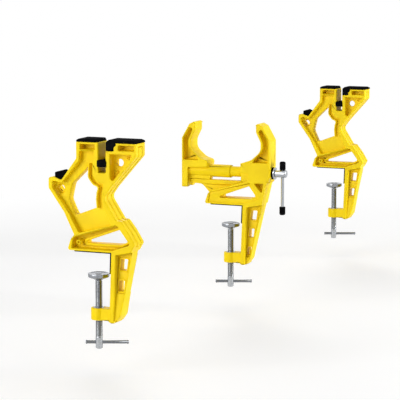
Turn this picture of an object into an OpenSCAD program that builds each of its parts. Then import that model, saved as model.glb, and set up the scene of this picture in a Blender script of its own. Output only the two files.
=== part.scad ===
// Ski tuning vise set: two end supports and a centre vise, clamped to a bench edge.
// Y runs along the bench edge, X points away from the bench, Z points up.
// The origin is where the centre unit's screw axis meets the bench top.

/* [Row] */
// Distance from the centre vise to the front support
front_spacing = 580; // [400:5:700]
// Distance from the centre vise to the rear support
rear_spacing = 632; // [400:5:700]

/* [Castings] */
// Depth of every casting along the bench edge
cast_depth = 37; // [36:1:46]
// Thickness of the panel of the arm and below the large window
panel_web = 8; // [6:0.5:12]
// Thickness of the rim around the large window
main_rim = 16; // [13:1:22]
// Width of the rim around the large window
main_rim_width = 5; // [3:0.5:6]
// Thickness of the thin webs in the foot, spine and prong
thin_web = 6; // [4:0.5:9]
// Width of the raised rims around the small windows
rim_width = 2.4; // [2:0.2:3]
// Height of those rims above the thin web
rim_rise = 2.5; // [1:0.5:4]
// Width of the outer flanges of arm and prong
flange = 6; // [5:0.5:8]
// Width of the groove along the outer faces
groove_width = 15; // [10:1:20]
// Depth of that groove
groove_depth = 1.2; // [0.6:0.2:2]

/* [Foot and spine] */
// Distance from the screw axis to the spine's clamping face
clamp_reach = 31; // [28:1:38]
// Length of the foot from the spine to the toe
foot_length = 75; // [66:1:90]
// Height of the toe above its underside
toe_height = 24; // [20:1:26]
// Length of the spine below the bench top
spine_drop = 112; // [106:1:140]
// Width of the spine at the bench top
spine_root = 34.5; // [32:0.5:40]
// Width of the spine at its tip
spine_tip = 16; // [14:0.5:20]
// How far the spine's tip leans in towards the screw
spine_lean = 4.5; // [0:0.5:6]
// Depth of the spine behind its inner flange
spine_depth = 23; // [20:1:28]
// Width of the spine's inner flange
spine_flange = 8; // [6:0.5:10]
// Width of the spine's outer flange
spine_edge = 2.5; // [2:0.5:4]
// Width of the uppermost window in the spine
spine_window = 12.5; // [9:0.5:13]
// Thickness of the rubber bench lining
lining = 1.5; // [1:0.25:3]
// Length of the lining along the bench top
lining_length = 66; // [50:1:68]
// Length of the lining down the bench edge
lining_drop = 33; // [20:1:36]

/* [Bench clamp] */
// Thickness of the bench that is clamped
bench = 36; // [20:1:48]
// Diameter of the clamp screw
screw_d = 12; // [10:0.5:13]
// Length of the clamp screw below its swivel pad
screw_length = 114; // [108:1:130]
// Length of the plain end with the cross hole
plain_end = 19; // [16:1:22]
// Diameter of the boss that carries the thread
boss_d = 26; // [24:0.5:28]
// Height of the boss
boss_height = 20; // [16:1:24]
// Diameter of the steel thread insert
insert_d = 18; // [16:0.5:20]
// Diameter of the swivel pad
swivel_d = 35; // [30:1:42]
// Height of the swivel pad
swivel_height = 10; // [8:0.5:12]
// Diameter of the sliding bar
bar_d = 5.6; // [5:0.2:6.4]
// Length of the sliding bar
bar_length = 70; // [60:1:85]
// Angle of the sliding bars to the square of the bench edge
bar_turn = 22.5; // [0:2.5:45]
// How far the front unit's bar is pushed through
front_bar_slide = 13; // [-20:1:20]
// How far the centre unit's bar is pushed through
centre_bar_slide = 6; // [-20:1:20]
// How far the rear unit's bar is pushed through
rear_bar_slide = 14; // [-20:1:20]

/* [End support] */
// Height of the prongs above the bench top
prong_top = 178; // [174:1:190]
// Distance from the screw axis back to the bench-side prong's face
prong_left = 30; // [28:1:36]
// Distance from the screw axis out to the outer prong's face
prong_right = 75; // [72:1:84]
// Distance from the screw axis to the slot
slot_left = 9.2; // [7:0.2:10]
// Width of the slot that takes the ski edge
slot_width = 13; // [12:0.5:16]
// Height of the slot's floor
slot_floor = 129.5; // [127:0.5:134]
// Thickness of the slot's walls
slot_wall = 7.6; // [6:0.2:8]
// Height of the ledge under the L-shaped pad
ledge = 165; // [163:0.5:168]
// Width of the L-shaped pad's leg
leg_width = 13.4; // [10:0.2:15]
// Thickness of the rubber pads on the prongs
pad_thickness = 6; // [4:0.5:8]
// Width of the arm's tip at the notch
arm_reach = 80; // [76:1:86]
// Height of the arm's tip
arm_top = 119; // [117:1:124]
// Height of the notch's bottom
notch_floor = 115; // [112:0.5:116]
// Thickness of the notch's rubber block
notch_block = 9.5; // [7:0.5:12]
// Distance from the screw axis to the waist's outer face
waist = 20.3; // [19:0.5:26]
// Distance from the screw axis to the knee
knee = 73; // [71:1:80]
// Diameter of the hanging holes in arm and prong
hole_d = 12; // [8:0.5:13]
// Height of the rubber bumper in the slot
bumper_height = 11; // [8:0.5:13]
// Height of the bumper's underside above the slot's floor
bumper_gap = 9.5; // [4:0.5:14]

/* [Centre vise] */
// Height of the spindle above the bench top
spindle_z = 63.5; // [62.5:0.5:66]
// Distance from the screw axis to the fixed jaw's outer face
fixed_face = 85; // [83:0.5:88]
// Distance from the screw axis to the moving jaw's outer face
moving_face = 94.5; // [90:0.5:100]
// Height of the jaws above the bench top
jaw_top = 158; // [150:1:170]
// Depth of the jaws' tips, outer face to clamping face
jaw_tip = 27.7; // [26:0.5:32]
// Depth of the jaws at their throat
jaw_throat = 18.4; // [16:0.5:22]
// Length of the spindle housing
housing_length = 59; // [57:1:62]
// Thickness of the housing's end wall
end_wall = 5.5; // [4:0.5:8]
// Diameter of the moving jaw's barrel
barrel_d = 24.4; // [23:0.2:25]
// Diameter of the sleeve in front of the barrel
sleeve_d = 20; // [19:0.2:22]
// Length of the barrel beyond the end block
barrel_length = 84; // [76:1:88]
// Length of the sleeve beyond the barrel
sleeve_length = 27; // [24:1:29]
// Thickness of the moving jaw's end block
block_width = 12.5; // [11:0.5:15]
// Height of the guide rail's top above the bench top
rail_top = 46.5; // [45.5:0.5:47]
// Height of the guide rail
rail_height = 8.5; // [6:0.5:9]
// Depth of the guide rail along the bench edge
rail_depth = 14; // [10:1:18]
// Length of the shoe that rides on the rail
shoe_length = 42; // [30:1:50]
// Diameter of the spindle
spindle_d = 12; // [10:0.5:12.5]
// Length of the spindle inside the housing
spindle_reach = 100; // [80:1:110]
// Diameter of the spindle's head
head_d = 14.5; // [13.5:0.5:18]
// Length of the spindle's head
head_length = 22; // [20:1:30]
// Diameter of the thrust collar
collar_d = 25; // [22:1:28]
// Thickness of the thrust collar
collar_width = 6; // [4:0.5:8]
// Diameter of the spindle's sliding bar
spindle_bar_d = 6; // [5.4:0.2:7]
// Length of that bar between its caps' outer ends
spindle_bar_length = 102; // [90:1:120]
// Diameter of the rubber caps on that bar
cap_d = 11.4; // [9.6:0.2:13]
// Length of the rubber caps
cap_length = 16; // [12:1:20]

/* [Fits] */
// Radial running clearance of shafts in their bores
run_fit = 0.05; // [0.02:0.01:0.1]
// Radial clearance of pressed pieces
press_fit = 0.02; // [0.01:0.01:0.04]
// Clearance between sliding castings
slide_gap = 0.3; // [0.2:0.05:0.5]

/* [Hidden] */
$fn = 64;
over = 1;

yellow = "#f7d417";
rubber = "#17181c";
zinc = "#c3c7c9";
chrome = "#dde1e6";

toe_x = clamp_reach - foot_length;
sole = lining;
ridge_start = sole + toe_height + 1.5;
spine_outer = clamp_reach + spine_root;
tip_inner = clamp_reach - spine_lean;
tip_outer = tip_inner + spine_tip;
slot_right = slot_left + slot_width;
leg_right = slot_right + leg_width;
swivel_z = -bench;
screw_z = swivel_z - swivel_height;
boss_z = -spine_drop + boss_height;
cross_hole = screw_z - screw_length + plain_end / 2 + 1;
rail_floor = rail_top - rail_height;
housing_start = fixed_face - housing_length;
cavity_d = barrel_d + 2 * slide_gap;
housing_floor = rail_top;
housing_top = spindle_z + cavity_d / 2 + 6.5;
jaw_block_x = -moving_face + block_width;
barrel_end = jaw_block_x + barrel_length;
sleeve_end = barrel_end + sleeve_length;
head_x = fixed_face + collar_width;
bar_x = head_x + head_length - 8;

// Unit vector
function unit(v) = v / norm(v);

// Arc that rounds corner b between a and c, where b is [x, z, radius]
function corner(a, b, c) =
    let (
        p = [b[0], b[1]],
        u = unit([a[0], a[1]] - p),
        v = unit([c[0], c[1]] - p),
        half = acos(max(-1, min(1, u * v))) / 2,
        room = 0.45 * min(norm([a[0], a[1]] - p), norm([c[0], c[1]] - p)),
        r = min(b[2], room * tan(half)),
        centre = p + unit(u + v) * r / sin(half),
        from = p + u * r / tan(half) - centre,
        to = p + v * r / tan(half) - centre,
        sweep = 180 - 2 * half,
        steps = max(2, ceil(sweep * sqrt(r) / 60))
    )
    [for (i = [0:steps])
        centre + (sin(sweep * (1 - i / steps)) * from + sin(sweep * i / steps) * to) / sin(sweep)];

// Closed outline with the corners of pts rounded
function rounded(pts) =
    let (n = len(pts))
    [for (i = [0:n - 1]) each
        pts[i][2] > 0
            ? corner(pts[(i + n - 1) % n], pts[i], pts[(i + 1) % n])
            : [[pts[i][0], pts[i][1]]]];

// Twice the area of an outline, negative where it runs clockwise
function turning(pts) =
    let (n = len(pts))
    [for (i = 0, sum = 0; i <= n; i = i + 1,
          sum = sum + pts[(i + n - 1) % n][0] * pts[i % n][1] - pts[i % n][0] * pts[(i + n - 1) % n][1])
        if (i == n) sum][0];

// Corner b of an outline, moved so that the edges to a and c lie d further out
function pushed(a, b, c, d, side) =
    let (
        p = [b[0], b[1]],
        u = unit(p - [a[0], a[1]]),
        v = unit([c[0], c[1]] - p),
        out = side * ([u[1], -u[0]] + [v[1], -v[0]]),
        q = p + out * d / (1 + u * v),
        bend = side * (u[0] * v[1] - u[1] * v[0])
    )
    [q[0], q[1], max(0.5, b[2] + (bend > 0 ? d : -d))];

// Outline with every edge d further out and its roundings kept concentric
function grown(pts, d) =
    let (n = len(pts), side = sign(turning(pts)))
    [for (i = [0:n - 1]) pushed(pts[(i + n - 1) % n], pts[i], pts[(i + 1) % n], d, side)];

// X of the spine's inner and outer face at height z, with the outer face's width at the seat
function spine_in(z) = clamp_reach + spine_lean * (z - sole) / (spine_drop + sole);
function spine_out(z, root) = root + (root - tip_outer) * z / spine_drop;

// Height of the foot's ridge at x
function ridge(x) = ridge_start + (x - toe_x - 8) * 0.274;

// Upright plate of the given depth, centred on the unit's middle plane
module plate(pts, depth = cast_depth) {
    rotate([90, 0, 0])
        linear_extrude(height = depth, center = true)
            polygon(rounded(pts));
}

// Pockets in both sides of a casting that leave a web of the given thickness
module pockets(pts, web, depth = cast_depth) {
    cut = (depth - web) / 2 + over;
    for (side = [-1, 1])
        translate([0, side * (web + cut) / 2, 0])
            plate(pts, cut);
}

// Pockets with a raised rim left standing around each window
module rimmed_pockets(pts, web, windows, width = rim_width, rim = 0) {
    difference() {
        pockets(pts, web);
        for (window = windows)
            plate(grown(window, width), rim > 0 ? rim : web + 2 * rim_rise);
    }
}

// Groove along the outer faces of an outline, between the heights low and high
module edge_groove(pts, from, low, high) {
    rotate([90, 0, 0])
        linear_extrude(height = groove_width, center = true)
            difference() {
                translate([from, low])
                    square([2 * knee, high - low]);
                polygon(rounded(grown(pts, -groove_depth)));
            }
}

// Round bar along Z
module rod(d, from, to) {
    translate([0, 0, min(from, to)])
        cylinder(d = d, h = abs(to - from));
}

// Round bar along X
module rod_x(d, from, to) {
    translate([min(from, to), 0, 0])
        rotate([0, 90, 0])
            cylinder(d = d, h = abs(to - from));
}

// Cross hole through a bar that lies along X
module bore_y(x, z, d) {
    translate([x, 0, z])
        rotate([90, 0, 0])
            cylinder(d = d, h = cast_depth + 2 * over, center = true);
}

// Foot and spine, shared by the three frames

// Points of the foot and spine from the outer face round to the toe's top
function foot_points(root) = [
    [spine_out(-spine_drop + 10, root), -spine_drop + 10, 8],
    [tip_outer - 6, -spine_drop - 1, 4],
    [tip_inner + 3, -spine_drop - 1.5, 3],
    [spine_in(-spine_drop), -spine_drop, 1],
    [clamp_reach, sole, 1],
    [toe_x, sole, 1.5],
    [toe_x - 2.5, sole + 3, 2],
    [toe_x + 3, sole + toe_height - 5, 4]
];

// Window k of the spine, counted downwards
function spine_window_points(k, root) =
    let (
        top = -8.6 - 35 * k,
        bottom = -27.5 - 34 * k,
        half = (spine_window - 2 * k) / 2,
        mid_top = (spine_in(top) + spine_flange + spine_out(top, root) - spine_edge) / 2,
        mid_bottom = (spine_in(bottom) + spine_flange + spine_out(bottom, root) - spine_edge) / 2
    )
    [
        [mid_top - half, top, 1.5],
        [mid_top + half, top, 1.5],
        [mid_bottom + half, bottom, 1.5],
        [mid_bottom - half, bottom, 1.5]
    ];

// Triangular window of the foot
foot_window = [
    [clamp_reach - 47, sole + 12, 1.5],
    [clamp_reach + 14, sole + 12.5, 3],
    [clamp_reach + 26, sole + 18, 3],
    [clamp_reach + 12, sole + 37, 2],
    [clamp_reach - 47, sole + 15.5, 1.5]
];

// Pockets and windows of the spine
module spine_cuts(count, root, floor) {
    pockets([
        [spine_in(-2) + spine_flange, -2, 1],
        [spine_out(5, root) + 5, 5, 0],
        [spine_out(5, root) + 5, -spine_drop - 5, 0],
        [spine_in(-spine_drop) + spine_flange, -spine_drop - 5, 0]
    ], spine_depth);
    rimmed_pockets([
        [spine_in(-4) + spine_flange + 0.5, -4, 2],
        [spine_out(1, root) - spine_edge, 1, 2],
        [spine_out(floor, root) - spine_edge, floor, 2],
        [spine_in(floor) + spine_flange + 0.5, floor, 1]
    ], thin_web, [for (k = [0:count - 1]) spine_window_points(k, root)]);
    for (k = [0:count - 1])
        plate(spine_window_points(k, root), cast_depth + over);
}

// Boss with its bridge to the spine
module clamp_boss() {
    rod(boss_d, -spine_drop, boss_z);
    translate([0, -boss_d / 2 + 3, -spine_drop])
        cube([clamp_reach, boss_d - 6, boss_height]);
}

// End support

main_window = [
    [slot_left - 18.5, 141, 2],
    [slot_left - 20.5, 121, 12],
    [slot_left - 11, 109, 8],
    [slot_left - 2, 106, 4],
    [waist - 16, 97, 8],
    [waist - 17, 86, 8],
    [waist - 16, 73, 3],
    [-36.5, 57.5, 4],
    [-48, 83, 12],
    [-42, 109, 12]
];

support_outline = concat(
    [
        [-prong_left, prong_top, 1.5],
        [slot_left, prong_top, 1.5],
        [slot_left, slot_floor, 1.5],
        [slot_right, slot_floor, 1.5],
        [slot_right, ledge, 1],
        [leg_right, ledge, 0.8],
        [leg_right, ledge + 6, 1],
        [leg_right + 4, ledge + 9.5, 1],
        [leg_right + 4, prong_top, 0.8],
        [prong_right, prong_top, 1.5],
        [prong_right, 157, 5],
        [waist + 9, 105, 10],
        [waist - 0.2, 92, 8],
        [waist, 86, 8],
        [knee - 32.5, 54, 3],
        [knee - 25, 53, 3],
        [knee - 12, 36.5, 14],
        [knee, 17, 3.5],
        [knee - 3.5, 10.5, 3],
        [spine_outer, 4, 3]
    ],
    foot_points(spine_outer),
    [
        [toe_x + 9, ridge_start, 2],
        [-arm_reach + 27.5, 63, 20],
        [-arm_reach, 101, 6],
        [-arm_reach, arm_top - 1, 4],
        [-arm_reach + 8, arm_top + 1, 2],
        [-prong_left - 27, notch_floor, 1.5],
        [-prong_left, 151, 6]
    ]
);

module support_frame() {
    color(yellow)
    difference() {
        union() {
            plate(support_outline);
            clamp_boss();
        }
        plate(main_window, cast_depth + over);
        // Panel down the prong and the arm, around the window and under it
        rimmed_pockets([
            [-prong_left + flange, ledge - 2, 1.5],
            [slot_left - slot_wall, ledge - 2, 1.5],
            [slot_left - slot_wall, 150, 4],
            [slot_left - 10.5, 143, 4],
            [slot_left - 10.5, 124, 10],
            [slot_left - 2, 114, 8],
            [slot_left + 10, 112, 3],
            [waist - 5, 98, 6],
            [waist - 5.5, 88, 6],
            [waist - 3, 74, 3],
            [knee - 41, 46, 2],
            [toe_x + 18, ridge(toe_x + 18) + 1, 2],
            [-arm_reach + 35, 64, 16],
            [-arm_reach + 7, 102, 4],
            [-arm_reach + 7, arm_top - 6, 2],
            [-prong_left - 26, notch_floor - 5, 3],
            [-prong_left + flange, 148, 6]
        ], panel_web, [main_window], main_rim_width, main_rim);
        // Pocket under the bench-side pad
        pockets([
            [-prong_left + flange + 1, 166, 1],
            [slot_left - 6, 166, 1],
            [slot_left - 6, prong_top - 3.5, 1],
            [-prong_left + flange + 1, prong_top - 3.5, 1]
        ], thin_web - 2);
        // Pocket under the L-shaped pad
        pockets([
            [leg_right + 9, 166, 1],
            [prong_right - 3, 166, 1],
            [prong_right - 3, prong_top - 3.5, 1],
            [leg_right + 9, prong_top - 3.5, 1]
        ], thin_web - 2);
        // Panel of the outer prong
        pockets([
            [slot_right + slot_wall, 160, 1],
            [prong_right - 5, 160, 2],
            [slot_right + slot_wall + 5, 117, 3],
            [slot_right + slot_wall, 120.5, 3]
        ], thin_web);
        // Foot
        difference() {
            rimmed_pockets([
                [toe_x + 4.5, sole + 3.5, 1.5],
                [clamp_reach + 2, sole + 3.5, 3],
                [knee - 9, 16, 3],
                [knee - 32, 46, 3],
                [toe_x + 9, ridge(toe_x + 9) - 4, 2],
                [toe_x + 7, ridge(toe_x + 9) - 6, 2]
            ], thin_web, [foot_window]);
            bore_y(toe_x + 17, sole + 14, 8);
        }
        plate(foot_window, cast_depth + over);
        bore_y(toe_x + 17, sole + 14, 3.4);
        spine_cuts(2, spine_outer, -66);
        // Hanging holes
        bore_y(leg_right + 5, 145.5, hole_d);
        bore_y(-arm_reach + 16.5, 99.5, hole_d - 1);
        edge_groove(support_outline, waist - 4, 12, 172);
        rod(insert_d + 2 * press_fit, -spine_drop - over, boss_z + over);
    }
}

module bench_side_pad() {
    color(rubber)
    plate([
        [-prong_left, prong_top, 0.8],
        [-prong_left, prong_top + 2.5, 1],
        [-prong_left + 4, prong_top + pad_thickness, 3],
        [slot_left - 3, prong_top + pad_thickness, 2.5],
        [slot_left - 1, prong_top, 1]
    ]);
}

module l_shaped_pad() {
    color(rubber)
    plate([
        [slot_right, ledge, 0.8],
        [leg_right, ledge, 0.8],
        [leg_right, ledge + 6, 1],
        [leg_right + 4, ledge + 9.5, 1],
        [leg_right + 4, prong_top, 0.8],
        [prong_right + 1, prong_top, 1],
        [prong_right + 1, prong_top + pad_thickness - 2, 1.5],
        [prong_right - 6, prong_top + pad_thickness, 4],
        [slot_right + 5, prong_top + pad_thickness, 2],
        [slot_right, prong_top + 1, 2]
    ]);
}

module slot_bumper() {
    low = slot_floor + bumper_gap;
    color(rubber) {
        translate([slot_left, -cast_depth / 2 - over, low])
            cube([slot_width, cast_depth + 2 * over, bumper_height]);
        for (side = [-1, 1])
            translate([0, side * (cast_depth / 2 + 1), 0])
                plate([
                    [slot_left - 1.5, low, 1.5],
                    [slot_right + 1.5, low, 1.5],
                    [slot_right + 1.5, low + bumper_height, 2],
                    [slot_left - 1.5, low + bumper_height, 2]
                ], 2);
    }
}

module notch_block_shape() {
    drop = notch_floor - arm_top - 1;
    run = -prong_left - 27 + arm_reach - 8;
    rise = 151 - notch_floor;
    color(rubber)
    plate([
        [-prong_left - 27, notch_floor, 1.5],
        [-prong_left - 27 + notch_block * 27 / norm([27, rise]),
         notch_floor + notch_block * rise / norm([27, rise]), 1.5],
        [-prong_left - 34, notch_floor + 14.5, 2],
        [-prong_left - 41, notch_floor + 12.5, 2],
        [-prong_left - 27 - 13 * run / norm([run, drop]),
         notch_floor - 13 * drop / norm([run, drop]), 1.5]
    ], cast_depth - 4);
}

// Pieces of the bench clamp, shared by the three units

module bench_lining() {
    color(rubber)
    plate([
        [clamp_reach - lining_length, 0, 0.4],
        [clamp_reach - lining - 2.4, 0, 0],
        [clamp_reach - lining - 1.8, lining / 2, 0],
        [clamp_reach - lining, lining / 2, 0],
        [spine_in(-1) - lining, -1, 0],
        [spine_in(-lining_drop) - lining, -lining_drop, 0.6],
        [spine_in(-lining_drop), -lining_drop, 0],
        [clamp_reach, sole, 1],
        [clamp_reach - lining_length, sole, 0]
    ], cast_depth - 2);
}

module thread_insert() {
    color(zinc)
    difference() {
        rod(insert_d, -spine_drop, boss_z);
        rod(screw_d + 2 * run_fit, -spine_drop - over, boss_z + over);
    }
}

module clamp_screw() {
    end_z = screw_z - screw_length;
    color(zinc)
    difference() {
        union() {
            rod(screw_d, end_z + 1, screw_z - 1.6);
            rod(screw_d - 2, end_z, end_z + 1.01);
            rod(screw_d - 5, screw_z - 1.7, screw_z + 3);
            translate([0, 0, screw_z + swivel_height - 5.2])
                sphere(d = screw_d - 3);
        }
        translate([0, 0, cross_hole])
            rotate([0, 0, bar_turn])
                rotate([0, 90, 0])
                    cylinder(d = bar_d + 2 * run_fit, h = screw_d * 2, center = true);
    }
}

module swivel_pad() {
    low = screw_z;
    color(zinc)
    difference() {
        rotate_extrude()
            polygon([
                [0, low + 0.8],
                [screw_d / 2 + 2, low],
                [swivel_d / 2 - 2, low + 4],
                [swivel_d / 2, low + 6],
                [swivel_d / 2, low + swivel_height - 0.8],
                [swivel_d / 2 - 0.8, low + swivel_height],
                [0, low + swivel_height]
            ]);
        rod(screw_d - 5 + 2 * run_fit, low - over, low + 3);
        translate([0, 0, low + swivel_height - 5.2])
            sphere(d = screw_d - 3 + 2 * run_fit);
    }
}

module sliding_bar(offset_x) {
    color(zinc)
    translate([0, 0, cross_hole])
        rotate([0, 0, bar_turn])
            translate([offset_x, 0, 0]) {
                rod_x(bar_d, -bar_length / 2, bar_length / 2);
                for (end = [-1, 1])
                    rod_x(bar_d + 1, end * bar_length / 2, end * (bar_length / 2 - 2));
            }
}

// Centre vise

// Outline of a jaw's horn; u runs inwards from the outer face
horn = [
    [0, spindle_z, 0],
    [0, jaw_top - 32, 4],
    [jaw_tip - 12.5, jaw_top - 5, 2],
    [jaw_tip - 3, jaw_top, 2],
    [jaw_tip, jaw_top - 2, 1.5],
    [jaw_tip, jaw_top - 16.5, 8],
    [jaw_throat, jaw_top - 35, 14],
    [jaw_throat, jaw_top - 52.5, 18],
    [jaw_throat + 19, jaw_top - 69.5, 24],
    [housing_length, housing_top - 1, 0.5],
    [housing_length, spindle_z, 0]
];

// Pocket of a horn between its two flanges
horn_pocket = [
    [3.5, housing_top + 1.5, 1],
    [3.5, jaw_top - 32, 3],
    [jaw_tip - 10, jaw_top - 10, 2],
    [jaw_tip - 5.5, jaw_top - 15.5, 3],
    [jaw_throat - 5, jaw_top - 36, 14],
    [jaw_throat - 5, jaw_top - 50, 16],
    [jaw_throat + 11, jaw_top - 66, 14],
    [jaw_throat + 16, housing_top + 1.5, 1]
];

// Mirrors or shifts a horn outline to its jaw's outer face
function on_face(pts, face, side) = [for (p = pts) [face + side * p[0], p[1], p[2]]];

module vise_frame() {
    root = spine_outer + 2;
    color(yellow)
    difference() {
        union() {
            plate(concat(
                [
                    [fixed_face, spindle_z, 0],
                    [fixed_face, spindle_z - 7, 6],
                    [spine_out(42, root) + 1, 42, 10]
                ],
                foot_points(root),
                [
                    [toe_x + 9, ridge_start, 2],
                    [housing_start + 20, ridge(housing_start + 20), 4],
                    [housing_start + 20, spindle_z, 0]
                ]
            ));
            plate(on_face(horn, fixed_face, -1));
            plate([
                [housing_start + 16, housing_floor, 1],
                [fixed_face - 4, housing_floor, 0],
                [fixed_face, spindle_z, 0],
                [fixed_face, housing_top, 0],
                [housing_start + 16, housing_top, 1]
            ]);
            plate([
                [housing_start, housing_floor - 1, 1.5],
                [housing_start + 20, housing_floor - 1, 0],
                [housing_start + 20, housing_top - 1, 0],
                [housing_start, housing_top - 1, 1.5]
            ], cavity_d + 6);
            clamp_boss();
            // Guide rail with its gusset down to the toe
            plate([
                [-moving_face + 0.5, rail_floor, 1],
                [housing_start + 10, rail_floor, 0],
                [housing_start + 10, rail_top, 0],
                [-moving_face + 0.5, rail_top, 1]
            ], rail_depth);
            plate([
                [-moving_face + 26, rail_floor, 0],
                [toe_x - 14, rail_floor - 1.5, 14],
                [toe_x + 2, sole + toe_height - 6, 4],
                [toe_x + 14, sole + toe_height - 2, 0],
                [housing_start + 10, rail_floor - 4, 0],
                [housing_start + 10, rail_top - 1, 0],
                [-moving_face + 26, rail_top - 1, 0]
            ], thin_web);
        }
        // Bore of the housing and the spindle's bearing
        translate([0, 0, spindle_z]) {
            rod_x(cavity_d, housing_start - over, fixed_face - end_wall);
            rod_x(spindle_d + 2 * run_fit, fixed_face - end_wall - over, fixed_face + over);
        }
        pockets(on_face(horn_pocket, fixed_face, -1), thin_web - 1);
        // Triangle between the strut and the outer flange
        pockets([
            [housing_start + 28, housing_floor - 2, 1],
            [spine_out(44, root) - 5, housing_floor - 2, 1],
            [spine_out(24, root) - 3.5, 26, 1.5]
        ], thin_web);
        // Foot
        rimmed_pockets([
            [toe_x + 4.5, sole + 3.5, 1.5],
            [clamp_reach + 2, sole + 3.5, 3],
            [clamp_reach + 33.5, 15, 2],
            [clamp_reach + 14, ridge(clamp_reach + 10) - 3.5, 2],
            [toe_x + 9, ridge(toe_x + 9) - 4, 2],
            [toe_x + 7, ridge(toe_x + 9) - 6, 2]
        ], thin_web, [foot_window]);
        plate(foot_window, cast_depth + over);
        spine_cuts(3, root, -99);
        rod(insert_d + 2 * press_fit, -spine_drop - over, boss_z + over);
    }
}

module moving_jaw() {
    half = cast_depth / 2;
    keel_top = spindle_z - barrel_d / 2 + 3;
    color(yellow)
    difference() {
        union() {
            plate(on_face(
                concat([[0, rail_top - 15, 1.5], [0, spindle_z, 0]],
                    [for (i = [1:8]) horn[i]],
                    [
                        [jaw_throat + 36, housing_top + 1, 8],
                        [jaw_throat + 34, spindle_z + 8, 2],
                        [block_width, spindle_z + 6, 0],
                        [block_width, rail_top - 15, 1.5]
                    ]),
                -moving_face, 1));
            translate([0, 0, spindle_z]) {
                rod_x(barrel_d, jaw_block_x - 1, barrel_end);
                rod_x(sleeve_d, barrel_end - 1, sleeve_end);
            }
            plate([
                [jaw_block_x - 1, rail_top + slide_gap, 0],
                [jaw_block_x + shoe_length, rail_top + slide_gap, 1],
                [jaw_block_x + shoe_length, keel_top, 0],
                [jaw_block_x - 1, keel_top, 0]
            ], rail_depth);
        }
        pockets(on_face(horn_pocket, -moving_face, 1), thin_web - 1);
        // Fork that straddles the guide rail
        translate([-moving_face - over, -rail_depth / 2 - slide_gap, rail_top - 15 - over])
            cube([block_width + 2 * over, rail_depth + 2 * slide_gap, 15 + over + slide_gap]);
        translate([0, 0, spindle_z]) {
            rod_x(spindle_d + 3, -moving_face + block_width, sleeve_end + over);
            rod_x(nut_d + 2 * press_fit, sleeve_end - nut_length, sleeve_end + over);
        }
    }
}

nut_d = sleeve_d - 3.6;
nut_length = 14;

module jaw_nut() {
    color(zinc)
    translate([0, 0, spindle_z])
        difference() {
            rod_x(nut_d, sleeve_end - nut_length, sleeve_end);
            rod_x(spindle_d + 2 * run_fit, sleeve_end - nut_length - over, sleeve_end + over);
        }
}

module spindle() {
    color(chrome)
    difference() {
        translate([0, 0, spindle_z]) {
            rod_x(spindle_d, fixed_face - spindle_reach, head_x);
            rod_x(head_d, head_x, head_x + head_length - 1);
            rod_x(head_d - 2, head_x + head_length - 1.01, head_x + head_length);
        }
        translate([bar_x, 0, 0])
            rod(spindle_bar_d + 2 * run_fit, spindle_z - head_d, spindle_z + head_d);
    }
}

module thrust_collar() {
    color(rubber)
    translate([0, 0, spindle_z])
        difference() {
            rod_x(collar_d, fixed_face, head_x);
            rod_x(spindle_d + 2 * run_fit, fixed_face - over, head_x + over);
        }
}

module retaining_ring() {
    inner = fixed_face - end_wall;
    color(zinc)
    translate([0, 0, spindle_z])
        difference() {
            rod_x(spindle_d + 5, inner - 1.5, inner);
            rod_x(spindle_d + 2 * press_fit, inner - 1.5 - over, inner + over);
        }
}

bar_top = spindle_z + head_d / 2 + 0.1 + cap_length;
bar_bottom = bar_top - spindle_bar_length;

module spindle_bar() {
    color(chrome)
    translate([bar_x, 0, 0])
        rod(spindle_bar_d, bar_bottom + 2, bar_top - 2);
}

// Rubber cap with its blind hole towards the bar
module bar_cap(closed_end, open_end) {
    inward = sign(open_end - closed_end);
    color(rubber)
    translate([bar_x, 0, 0])
        difference() {
            rod(cap_d, closed_end, open_end);
            rod(spindle_bar_d + 2 * press_fit, closed_end + inward * 2, open_end + inward * over);
        }
}

// Placement of the three units

module at_front() {
    translate([0, -front_spacing, 0])
        children();
}

module at_rear() {
    translate([0, rear_spacing, 0])
        children();
}

at_front() support_frame();  // front_support_frame
at_front() bench_side_pad();  // front_bench_side_pad
at_front() l_shaped_pad();  // front_l_shaped_pad
at_front() slot_bumper();  // front_slot_bumper
at_front() notch_block_shape();  // front_notch_block
at_front() bench_lining();  // front_bench_lining
at_front() thread_insert();  // front_thread_insert
at_front() clamp_screw();  // front_clamp_screw
at_front() swivel_pad();  // front_swivel_pad
at_front() sliding_bar(front_bar_slide);  // front_sliding_bar
at_rear() support_frame();  // rear_support_frame
at_rear() bench_side_pad();  // rear_bench_side_pad
at_rear() l_shaped_pad();  // rear_l_shaped_pad
at_rear() slot_bumper();  // rear_slot_bumper
at_rear() notch_block_shape();  // rear_notch_block
at_rear() bench_lining();  // rear_bench_lining
at_rear() thread_insert();  // rear_thread_insert
at_rear() clamp_screw();  // rear_clamp_screw
at_rear() swivel_pad();  // rear_swivel_pad
at_rear() sliding_bar(rear_bar_slide);  // rear_sliding_bar
vise_frame();
bench_lining();  // vise_bench_lining
thread_insert();  // vise_thread_insert
clamp_screw();  // vise_clamp_screw
swivel_pad();  // vise_swivel_pad
sliding_bar(centre_bar_slide);  // vise_sliding_bar
moving_jaw();
jaw_nut();
spindle();
thrust_collar();
retaining_ring();
spindle_bar();
bar_cap(bar_top, bar_top - cap_length);  // upper_bar_cap
bar_cap(bar_bottom, bar_bottom + cap_length);  // lower_bar_cap
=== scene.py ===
"""Dresses the ski tuning vise set: two end supports and a centre vise, each with its screw clamp.

The moulded frames and the sliding jaw keep their own solids, which are welded and get rounded
edges, and closed plates sunk into them carry the mould's raised panels, beads and loops.  The
rubber, the screws, the bars and the small turned pieces are new surfaces.  Corners are
(x, z, radius) and points of a profile (along, away), all in mm in the shared frame.
"""

import logging
import math
from dataclasses import dataclass
from enum import Enum

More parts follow.
